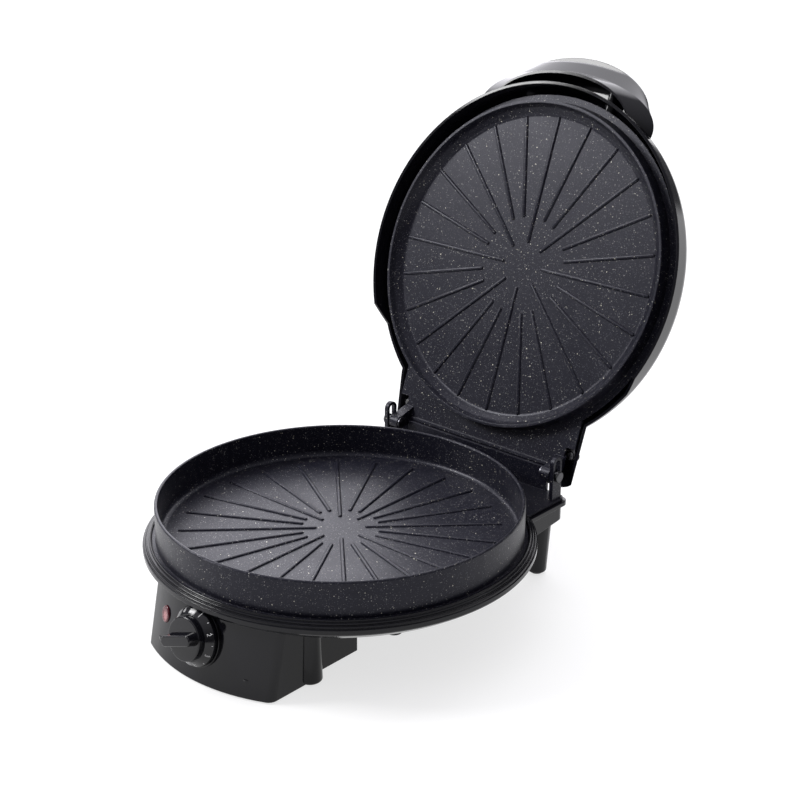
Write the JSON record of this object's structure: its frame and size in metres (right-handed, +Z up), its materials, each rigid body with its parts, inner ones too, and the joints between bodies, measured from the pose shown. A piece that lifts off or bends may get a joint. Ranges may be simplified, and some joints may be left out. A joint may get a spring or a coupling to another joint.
{
  "type": "electric pizza maker",
  "caption": "Round countertop pizza maker with a hinged domed lid, speckled ribbed cooking plates, a thermostat knob on a curved front housing and low feet.",
  "frame": {"origin": "table level, under the middle of the open appliance's box; the axis of the round pan is at y = -0.0758", "axes": "+Z up, the controls face -Y, the lid hinge is at +Y, +X is to the right of someone facing the controls from behind the appliance's front"},
  "size_m": [0.3426, 0.5365, 0.438],
  "materials": {
    "shell_black": "gloss black moulded plastic",
    "nonstick_coat": "cast aluminium with a dark speckled non-stick coat",
    "knob_black": "gloss black moulded plastic with white dial marks",
    "dial_black": "gloss black moulded plastic",
    "lens_red": "translucent red moulded plastic",
    "lamp_glass": "clear glass",
    "holder_plastic": "matt off-white plastic",
    "terminal_plastic": "matt off-white plastic",
    "thermostat_steel": "plated steel case",
    "steel": "zinc-plated steel",
    "spring_steel": "dark spring steel",
    "shaft_steel": "turned steel",
    "pin_steel": "turned and polished steel",
    "screw_steel": "zinc-plated steel",
    "nut_brass": "turned brass",
    "terminal_brass": "brass",
    "element_sheath": "oxidised steel sheath",
    "reflector_sheet": "bright rolled aluminium sheet",
    "foot_rubber": "matt black rubber",
    "cover_plastic": "fine-textured black plastic",
    "bush_rubber": "matt black rubber",
    "fuse_metal": "plated metal can"
  },
  "bodies": {
    "base": {"base_shell": "shell_black", "bottom_cover": "cover_plastic", "cord_inlet_bush": "bush_rubber", "cover_screws": "screw_steel", "dial_plate": "dial_black", "fuse_clip": "steel", "indicator_lamp": "lamp_glass", "indicator_lens": "lens_red", "lamp_holder": "holder_plastic", "lower_element": "element_sheath", "lower_element_clips": "steel", "lower_pan": "nonstick_coat", "lower_reflector": "reflector_sheet", "pan_screws": "screw_steel", "rubber_feet": "foot_rubber", "terminal_block": "terminal_plastic", "terminal_screws": "terminal_brass", "thermal_fuse": "fuse_metal", "thermostat_body": "thermostat_steel", "thermostat_nut": "nut_brass"},
    "knob": {"thermostat_shaft": "shaft_steel", "knob_skirt": "knob_black", "knob_cap": "knob_black"},
    "hinge_pins": {"hinge_pins": "pin_steel", "pin_circlips": "spring_steel"},
    "lid": {"lid_shell": "shell_black", "handle_lip": "shell_black", "handle_screws": "screw_steel", "upper_plate": "nonstick_coat", "upper_reflector": "reflector_sheet", "upper_element": "element_sheath", "upper_element_clips": "steel", "plate_screws": "screw_steel", "lid_screws": "screw_steel"}
  },
  "joints": [
    {"name": "hinge_float", "type": "slide", "parent": "base", "child": "hinge_pins", "axis": [0, 0, 1], "range_m": [0, 0.012]},
    {"name": "lid_hinge", "type": "hinge", "parent": "hinge_pins", "child": "lid", "pos_m": [0, 0.101, 0.0958], "axis": [1, 0, 0], "range_deg": [0, 110.4]},
    {"name": "knob_turn", "type": "hinge", "parent": "base", "child": "knob", "pos_m": [0, -0.24439, 0.0387], "axis": [0, -0.9781, 0.2079], "range_deg": [-270, 0]}
  ]
}
